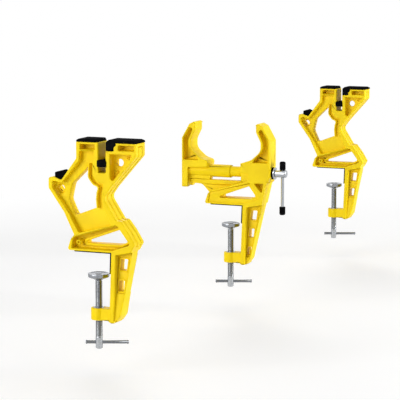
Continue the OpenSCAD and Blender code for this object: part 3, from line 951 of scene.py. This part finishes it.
    def spine_window(self, k: int) -> Outline:
        """Corners of one window of the spine, halfway between its flange and its outer lip.

        Args:
            k: Its number, counted downwards from 0.

        Returns:
            The corners.
        """
        top, bottom = (start - step * k for start, step in (self.window_top, self.window_bottom))
        half, corner = self.window_half - k, self.window_corner
        flange, lip = self.window_margin
        high, low = ((self.inner(z) + flange + self.outer(z) - lip) / 2 for z in (top, bottom))
        ends = ((low - half, bottom), (low + half, bottom), (high + half, top), (high - half, top))
        return [(*end, corner) for end in ends]

    def spine_panel(self) -> None:
        """Panel of the spine, which rises towards its tip, with a loop round each window."""
        floor, top, rise = self.spine.floor, self.spine.top, self.spine.rise
        windows = [self.spine_window(k) for k in range(self.spine.windows)]
        points = [
            (self.inner(floor) + self.flange, floor, 0.3),
            (self.outer(floor) - self.lip, floor, 0.3), (self.outer(0.0) - self.lip, 0.4, 1.5),
            (self.inner(-4) + self.flange, -3.4, 1.5),
        ]
        mouths = [beside(window, -self.mouth) for window in windows]
        self.add("spine_panel", points, mouths, (top, top + rise), soften=0.4, steps=2)
        for k, window in enumerate(windows):
            height = top + rise * window[0][1] / floor + self.spine_loop_rise
            half = (height + rise * self.window_height / floor, height)
            outline, mouth = beside(window, self.spine_loop_width), beside(window, -self.rim)
            self.add(f"spine_loop_{k + 1}", outline, [mouth], half, soften=1.1)
        if not self.central:
            self.spine_tip(floor + 1.2)

    def spine_tip(self, top: float) -> None:
        """Lower half of the spine's panel, which comes forward towards the tip.

        Args:
            top: Height where it starts.
        """
        points = [
            (self.inner(-108.5) + 6.5, -108.5, 1.0), (38.0, -110.5, 3.0),
            (self.outer(-101.0) + 0.06, -101.0, 8.0), (self.outer(top) + 0.06, top, 0.5),
            (self.inner(top) + 7.0, top, 0.5),
        ]
        self.add("spine_tip", points, [], half=(11.62, 15.5), soften=1.2)


@dataclass
class ScrewClamp(Assembly):
    """Clamp screw, swivel pad, sliding bar, thread bush and lining of one unit.

    Pairs are a lowest and a highest place.  The ball's centre lies its depth below the pad's top.
    """

    bar_offset: float
    screw_radius: float = 6.0
    pitch: float = 1.75
    pad: Pair = (-46.0, -36.0)
    pad_radius: float = 17.5
    ball_depth: float = 5.2
    ball_radius: float = 4.5
    screw_end: float = -160.0
    plain_length: float = 19.0
    cross_hole: float = -149.5
    bar_radius: float = 2.8
    bar_length: float = 70.0
    bar_turn: float = 22.5
    boss: Pair = (-112.0, -92.0)
    insert_radius: float = 9.0
    lining_box: Pair = (-35.0, 31.0)
    lining_size: Point = (1.5, 35.0, 33.0)
    lean: float = 4.5 / 112

    def build(self) -> None:
        """Builds every piece of the clamp."""
        self.screw()
        self.swivel_pad()
        self.bar()
        self.insert()
        self.lining()

    def screw(self) -> None:
        """Rolled thread from the plain end to the neck, with the ball and the drilled plain end."""
        body, r = self.name("screw"), self.screw_radius
        bottom, top = self.pad
        low, shoulder = self.screw_end, self.screw_end + self.plain_length
        span = (shoulder, bottom - 2)
        thread = threaded(self.name("screw_thread"), span, r, self.pitch, self.centre(), Axis.Z, ZINC)
        thread.on(body, self.name("clamp_screw"))
        neck = [(bottom - 2.2, TIP), (bottom - 2.2, r - 0.9), (bottom - 1.4, r - 2.5)]
        neck += [(bottom + 2.4, r - 2.5)]
        neck += [*arc(top - self.ball_depth, 0, self.ball_radius, 138, 4, 6), (top - 0.7, TIP)]
        turned(self.name("screw_ball"), neck, self.centre(), Axis.Z, ZINC).on(body)
        plain = [(low, TIP), (low, r - 1.2), (low + 1.2, r), (shoulder - 0.8, r)]
        plain += [(shoulder + 0.1, r - 0.8), (shoulder + 0.1, TIP)]
        end = turned(self.name("screw_plain_end"), plain, self.centre(), Axis.Z, ZINC, around=64)
        end.drill(self.centre(self.cross_hole), Axis.X, r + 1.0, self.bar_radius, 2.0, self.bar_turn)
        end.on(body)

    def swivel_pad(self) -> None:
        """Pressed disc with a rolled rim, a domed underside and a socket for the ball."""
        (low, high), r = self.pad, self.pad_radius
        profile = [(low + 2.2, 3.6), (low, 4.4), (low, 8.2), (low + 1.0, 9.6), (low + 2.6, r - 3.4)]
        profile += [*arc(low + 5.2, r - 1.8, 1.8, 180, 90), *arc(high - 0.9, r - 0.9, 0.9, 90, 0)]
        profile += [(high, r - 3.0), (high - 0.8, r - 3.8), (high - 0.8, 6.0), (high, 5.2), (high, TIP)]
        socket = self.ball_radius + HOLE_PLAY
        profile += [(high - 0.6, TIP), *arc(high - self.ball_depth, 0, socket, 4, 138, 6)]
        name = self.name("swivel_disc")
        disc = turned(name, profile, self.centre(), Axis.Z, PRESSED, around=72, ring=True)
        disc.on(self.name("pad"), self.name("swivel_pad"))

    def bar(self) -> None:
        """Sliding bar with swaged ends."""
        half, r = self.bar_length / 2, self.bar_radius
        end = [(half - 2.8, r), (half - 2.2, r + 0.4), (half - 1.6, r + 0.55)]
        end += [*arc(half - 1.4, r - 0.85, 1.4, 90, 0, 5), (half, TIP)]
        profile = [(x + self.bar_offset, y) for x, y in [(-x, y) for x, y in end[::-1]] + end]
        name, centre = self.name("bar_with_swaged_ends"), self.centre(self.cross_hole)
        bar = turned(name, profile, centre, Axis.X, DRAWN, self.bar_turn, 32)
        bar.on(self.name("bar"), self.name("sliding_bar"))

    def insert(self) -> None:
        """Steel bush in the boss, with a chamfered mouth at both ends."""
        low, high = self.boss
        bore, outer = self.screw_radius + BORE_PLAY, self.insert_radius
        under, over = low - 0.6, high + 0.6
        profile = [(low + 0.8, bore), (under, bore + 1.1), (under, outer - 0.6), (low, outer)]
        profile += [(high, outer), (over, outer - 0.6), (over, bore + 1.1), (high - 0.8, bore)]
        name = self.name("thread_bush")
        bush = turned(name, profile, self.centre(), Axis.Z, ZINC, around=64, ring=True)
        bush.on(self.unit.holder, self.name("thread_insert"))

    def lining(self) -> None:
        """Rubber lining under the foot and down the spine's inner face, with softened ends."""
        start, corner = self.lining_box
        thick, width, drop = self.lining_size
        foot = corner - self.lean * drop
        points = [
            (start, 0.0, 0.5), (corner - thick, 0.0, 0.3), (foot - thick, -drop, 0.5),
            (foot, -drop, 0.3), (corner, thick, 0.2), (start, thick, 0.4),
        ]
        lining = pillow(self.name("rubber_lining"), points, self.unit.place, width, (0.6, 0.35), 0.0, 3)
        lining.on(self.unit.holder, self.name("bench_lining"))


@dataclass
class EndSupport(Assembly):
    """Frame of an end support with its four rubber pieces."""

    depth: float = 37.0
    prong_top: float = 178.0
    prong_left: float = 30.0
    prong_right: float = 75.0
    slot: Pair = (9.2, 22.2)
    bumper_box: Pair = (139.0, 150.0)
    lip_thickness: float = 2.0
    ledge: float = 165.0
    leg_right: float = 35.6
    pad: float = 5.0
    notch: Pair = (-57.0, 115.0)
    arm: Pair = (-72.0, 120.0)
    slope: Pair = (27.0, 36.0)

    def build(self) -> None:
        """Dresses the frame and builds the rubber pieces."""
        Moulding(self.name("support_frame")).build()
        self.bench_side_pad()
        self.l_shaped_pad()
        self.bumper()
        self.notch_block()

    def bench_side_pad(self) -> None:
        """Flat pad on the inner prong, with rounded corners and a crowned top."""
        left, right, top = -self.prong_left, self.slot[0], self.prong_top
        points = [
            (left, top, 0.6), (left, top + 2.6, 1.6), (left + 4.5, top + self.pad, 4.0),
            (right - 3.0, top + self.pad, 2.4), (right - 1.0, top, 0.6),
        ]
        name, place = self.name("bench_side_rubber"), self.unit.place
        pad = pillow(name, points, place, self.depth, (2.5, 1.8), top)
        pad.on(self.unit.holder, self.name("bench_side_pad"))

    def l_shaped_pad(self) -> None:
        """Pad on the outer prong that reaches down into the slot."""
        left, right, top = self.slot[1], self.prong_right + 1.0, self.prong_top
        leg, ledge = self.leg_right, self.ledge
        points = [
            (left, ledge, 0.6), (leg, ledge, 0.2), (leg, ledge + 6.0, 0.2),
            (leg + 4.0, ledge + 9.5, 0.2), (leg + 4.0, top, 0.2), (right, top, 0.8),
            (right, top + self.pad - 2.0, 2.0), (right - 6.0, top + self.pad, 5.0),
            (left + 5.0, top + self.pad, 2.5), (left, top + 1.0, 3.0),
        ]
        pad = pillow(self.name("l_shaped_rubber"), points, self.unit.place, self.depth, (2.5, 1.6), top)
        pad.on(self.unit.holder, self.name("l_shaped_pad"))

    def bumper(self) -> None:
        """Bumper across the slot with a lip over both faces of the frame."""
        (left, right), (low, high) = self.slot, self.bumper_box
        thick, place = self.lip_thickness, self.unit.place
        points = [(left, low, 0.3), (right, low, 0.3), (right, high, 0.8), (left, high, 0.8)]
        core = pillow(self.name("bumper_core"), points, place, self.depth + thick, (0.4, 0.4), steps=2)
        core.on(self.unit.holder, self.name("slot_bumper"))
        left, right = left - 1.5, right + 1.5
        points = [(left, low, 1.6), (right, low, 1.6), (right, high, 2.2), (left, high, 2.2)]
        for side, word in ((-1, "near"), (1, "far")):
            middle = place + side * (self.depth + thick) / 2
            lip = pillow(self.name(f"bumper_{word}_lip"), points, middle, thick, (0.8, 0.8), steps=3)
            lip.on(self.unit.holder)

    def notch_block(self) -> None:
        """Rubber block in the arm's notch, with a softened V along its top."""
        corner = np.array(self.notch)
        x, z = self.notch
        steps = np.array(self.slope), np.array(self.arm) - corner
        inner, outer = (step / np.linalg.norm(step) for step in steps)
        points = [
            (x, z, 0.2), (*(corner + 9.5 * inner), 1.5), (x - 6.7, z + 13.6, 2.0),
            (x - 12.6, z + 11.6, 1.5), (*(corner + 13.0 * outer), 0.8),
        ]
        depth = self.depth - 4.0
        block = pillow(self.name("notch_rubber"), points, self.unit.place, depth, (2.0, 1.6), z)
        block.on(self.unit.holder, self.name("notch_block"))


@dataclass
class CentreVise:
    """Fixed frame, sliding jaw and spindle of the centre vise."""

    spindle_z: float = 63.5
    face: float = 85.0
    nut: Pair = (15.0, 29.0)
    nut_radius: float = 8.2
    ring: Pair = (78.0, 79.5)
    ring_radius: float = 8.5
    spindle_radius: float = 6.0
    pitch: float = 3.0
    spindle_start: float = -15.0
    journal: float = 77.0
    head: Pair = (91.0, 113.0)
    head_radius: float = 7.25
    collar_radius: float = 12.5
    washer: float = 3.4
    bar_x: float = 105.0
    bar_radius: float = 3.0
    bar_ends: Pair = (-15.15, 86.85)
    cap_radius: float = 5.7
    cap_length: float = 16.0
    cap_wall: float = 2.0

    @property
    def centre(self) -> Point:
        """Point of the spindle's axis at place 0."""
        return (0.0, 0.0, self.spindle_z)

    def build(self) -> None:
        """Builds every piece of the vise."""
        Moulding("vise_frame").build()
        Moulding("moving_jaw").build()
        self.nut_and_ring()
        self.spindle()
        self.collar()
        self.handle()

    def nut_and_ring(self) -> None:
        """Steel nut in the jaw's sleeve and the ring that keeps the spindle in its bearing."""
        (start, end), outer, bore = self.nut, self.nut_radius, self.spindle_radius + BORE_PLAY
        profile = [(start, bore), (start, outer - 0.5), (start + 0.5, outer), (end - 0.2, outer)]
        profile += [(end + 0.3, outer - 0.5), (end + 0.3, bore + 0.9), (end - 0.6, bore)]
        nut = turned("nut_in_sleeve", profile, self.centre, Axis.X, ZINC, ring=True)
        nut.on("jaw", "jaw_nut")
        (start, end), outer, bore = self.ring, self.ring_radius, self.spindle_radius + TIGHT_PLAY
        profile = [(start, bore), (start, outer - 0.3), (start + 0.3, outer), (end - 0.3, outer)]
        profile += [(end, outer - 0.3), (end, bore)]
        ring = turned("ring_on_spindle", profile, self.centre, Axis.X, ZINC, ring=True)
        ring.on("spindle", "retaining_ring")

    def spindle(self) -> None:
        """Threaded spindle with its smooth journal and its drilled head."""
        (start, end), h, r, journal = self.head, self.head_radius, self.spindle_radius, self.journal
        span = (self.spindle_start, journal)
        thread = threaded("spindle_thread", span, r, self.pitch, self.centre, Axis.X, CHROME)
        thread.on("spindle", "spindle")
        profile = [(journal - 0.1, TIP), (journal - 0.1, r - 0.5), (journal + 0.4, r), (start, r)]
        profile += [(start, h - 0.7), (start + 0.7, h), (end - 3.6, h), (end - 3.0, h - 0.5)]
        profile += [(end - 2.4, h), *arc(end - 1.8, h - 1.8, 1.8, 90, 0, 5), (end, TIP)]
        head = turned("spindle_head", profile, self.centre, Axis.X, CHROME, around=64)
        head.drill((self.bar_x, 0, self.spindle_z), Axis.Z, h + 1.0, self.bar_radius, 1.5)
        head.on("spindle")

    def collar(self) -> None:
        """Rubber collar against the frame, and the head's flange that presses on it."""
        start, h, c, front = self.head[0], self.head_radius, self.collar_radius, self.face
        bore, middle = self.spindle_radius + BORE_PLAY, self.face + self.washer
        profile = [(front, bore), (front, c - 1.8), (front + 0.8, c - 1.0), (middle - 0.6, c - 1.0)]
        profile += [(middle, c - 1.6), (middle, bore)]
        collar = turned("collar", profile, self.centre, Axis.X, RUBBER, around=64, ring=True)
        collar.on("spindle", "thrust_collar")
        c -= 0.8
        profile = [(middle, bore), (middle, c - 0.7), (middle + 0.7, c)]
        profile += [*arc(start - 0.9, c - 0.9, 0.9, 90, 0), (start - 0.2, h + 1.4)]
        profile += [(start + 0.6, h - 0.4), (start + 0.6, bore)]
        flange = turned("head_flange", profile, self.centre, Axis.X, CHROME, around=64, ring=True)
        flange.on("spindle")

    def handle(self) -> None:
        """Chromed sliding bar and its two rubber caps."""
        bottom, top = self.bar_ends
        low, high, r = bottom + self.cap_wall, top - self.cap_wall, self.bar_radius
        profile = [(low, TIP), (low, r - 0.4), (low + 0.4, r)]
        profile += [(high - 0.4, r), (high, r - 0.4), (high, TIP)]
        bar = turned("handle_bar", profile, (self.bar_x, 0, 0), Axis.Z, CHROME, around=32)
        bar.on("spindle_handle", "spindle_bar")
        self.cap("upper", top, -1)
        self.cap("lower", bottom, 1)

    def cap(self, word: str, closed: float, inward: int) -> None:
        """Rubber cap with a domed end, two grip rings and a rounded mouth.

        Args:
            word: Which of the two caps.
            closed: Height of its closed end.
            inward: 1 where it opens upwards and -1 where it opens downwards.
        """
        c, r = self.cap_radius, self.bar_radius + TIGHT_PLAY
        length, wall = self.cap_length, self.cap_wall
        outer = [(0.0, TIP), *arc(3.2, c - 3.2, 3.2, 180, 90, 6), (7.0, c), (7.5, c - 0.35), (8.0, c)]
        outer += [(10.0, c), (10.5, c - 0.35), (11.0, c), *arc(length - 1.2, c - 1.2, 1.2, 90, 0)]
        bore = [(length, r), (wall, r), (wall, TIP)]
        profile = [(closed + inward * x, y) for x, y in outer + bore][::inward]
        cap = turned(f"{word}_cap", profile, (self.bar_x, 0, 0), Axis.Z, RUBBER, around=40, ring=True)
        cap.on("spindle_handle", f"{word}_bar_cap")


@dataclass(frozen=True)
class Lamp:
    """A square soft lamp: its place and size in mm and its power in watts."""

    name: str
    place: Point
    size: float
    power: float

    def build(self) -> None:
        """Hangs the lamp, aimed at the middle of the row."""
        lamp = bpy.data.lights.new(self.name, "AREA")
        lamp.shape = "SQUARE"
        lamp.size = self.size * MM
        lamp.energy = self.power
        obj = add_object(self.name, lamp)
        spot = np.array(self.place) * MM
        aim = np.array(AIM) * MM - spot
        flat = math.hypot(aim[0], aim[1])
        obj.location = spot
        up, across = math.atan2(aim[2], flat), math.atan2(aim[1], aim[0])
        obj.rotation_euler = (math.pi / 2 + up, 0, across - math.pi / 2)


@dataclass
class Studio:
    """Pale floor and backdrop, soft lamps and the camera, in mm and degrees.

    The floor turns white between the fade's two distances from the middle.
    """

    floor_z: float = -204.0
    floor_half: float = 30000.0
    floor_cloud: float = 1000.0 / 3
    floor_lift: float = 0.18
    fade: Pair = (850.0, 1700.0)
    ambient: float = 0.2
    camera_at: Point = (1218.8, -3085.6, 472.9)
    yaw: float = 22.573
    pitch: float = 7.978
    lens: float = 157.4
    lamps: tuple[Lamp, ...] = (
        Lamp("broad front light", (-2300.0, -4700.0, 1350.0), 3800.0, 212.0),
        Lamp("side light", (4400.0, 1200.0, 1000.0), 2200.0, 190.0),
        Lamp("top light", (0.0, 0.0, 3200.0), 2200.0, 22.0),
        Lamp("back light", (-2200.0, 4000.0, 3600.0), 3000.0, 75.0),
    )

    def build(self) -> None:
        """Builds floor, lamps, world and camera."""
        self.floor()
        for lamp in self.lamps:
            lamp.build()
        self.world()
        self.camera()

    def floor(self) -> None:
        """Flat pale floor that keeps the object's shadow and is the backdrop's white farther out."""
        size, z = self.floor_half, self.floor_z
        mesh = bpy.data.meshes.new("floor")
        corners = np.array([(-size, -size, z), (size, -size, z), (size, size, z), (-size, size, z)]) * MM
        mesh.from_pydata(corners.tolist(), [], [(0, 1, 2, 3)])
        mesh.materials.append(self.lacquer())
        obj = add_object("floor", mesh)

    def lacquer(self) -> bpy.types.Material:
        """Matt white lacquer, lifted a little for the eye, that fades to white between two distances.

        Returns:
            The floor's material.
        """
        paint = bpy.data.materials.new("floor, matt white lacquer")
        tree = empty_tree(paint)
        place = add_node(tree, "TexCoord").outputs["Object"]
        cloud = add_node(tree, "TexNoise", Vector=place, Scale=1 / (self.floor_cloud * MM), Detail=2.0)
        tone = add_node(tree, "ValToRGB", stops=((0.3, "#f3f3f3"), (0.7, "#f7f7f7")), Fac=cloud)
        matt = add_node(tree, "BsdfDiffuse", Color=tone)
        seen = self.seen(tree)
        lift = add_node(tree, "Math", {"operation": "MULTIPLY"}, i0=seen, i1=self.floor_lift)
        glow = add_node(tree, "Emission", Color=(1, 1, 1, 1), Strength=lift)
        near = add_node(tree, "AddShader", i0=matt, i1=glow)
        away = add_node(tree, "VectorMath", {"operation": "LENGTH"}, i0=place).outputs["Value"]
        start, end = (distance * MM for distance in self.fade)
        smooth = {"interpolation_type": "SMOOTHSTEP"}
        fade = add_node(tree, "MapRange", smooth, Value=away, From_Min=start, From_Max=end)
        share = add_node(tree, "Math", {"operation": "MULTIPLY"}, i0=seen, i1=fade)
        white = add_node(tree, "Emission", Color=(1, 1, 1, 1), Strength=1.0)
        mixed = add_node(tree, "MixShader", i0=share, i1=near, i2=white)
        add_node(tree, "OutputMaterial", Surface=mixed)
        return paint

    def world(self) -> None:
        """White where the camera, gloss or glass looks at it, and a soft grey light elsewhere."""
        scene = bpy.context.scene
        scene.world = scene.world or bpy.data.worlds.new("studio")
        tree = empty_tree(scene.world)
        strength = add_node(tree, "MapRange", Value=self.seen(tree), To_Min=self.ambient, To_Max=1.0)
        sky = add_node(tree, "Background", Color=(1, 1, 1, 1), Strength=strength)
        add_node(tree, "OutputWorld", Surface=sky)
        scene.view_settings.view_transform = "Standard"

    def seen(self, tree: Tree) -> Node:
        """Gives 1 to rays from the camera, from gloss and through glass, and 0 to all others.

        Args:
            tree: Node tree that gets the nodes.

        Returns:
            The node with that value.
        """
        rays = add_node(tree, "LightPath")
        largest = rays.outputs["Is Camera Ray"]
        for name in ("Is Glossy Ray", "Is Transmission Ray"):
            largest = add_node(tree, "Math", {"operation": "MAXIMUM"}, i0=largest, i1=rays.outputs[name])
        return largest

    def camera(self) -> None:
        """Camera in front of the row and above it, with a long lens."""
        data = bpy.data.cameras.new("camera")
        data.sensor_width = 36.0
        data.sensor_fit = "HORIZONTAL"
        data.lens = self.lens
        data.clip_end = 100.0
        obj = add_object("camera", data)
        obj.location = np.array(self.camera_at) * MM
        obj.rotation_euler = (math.radians(90 - self.pitch), 0, math.radians(self.yaw))
        bpy.context.scene.camera = obj


def main() -> None:
    """Builds every sub-assembly, then the studio round it."""
    logging.basicConfig(level=logging.INFO, format="%(name)s: %(message)s")
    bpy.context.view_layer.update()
    parts = [
        EndSupport(Unit.FRONT),
        Relief(Unit.FRONT),
        ScrewClamp(Unit.FRONT, 13.0),
        EndSupport(Unit.REAR),
        Relief(Unit.REAR),
        ScrewClamp(Unit.REAR, 14.0),
        CentreVise(),
        Relief(Unit.CENTRE),
        ScrewClamp(Unit.CENTRE, 6.0),
        Studio(),
    ]
    for part in parts:
        part.build()


if __name__ == "__main__":
    main()
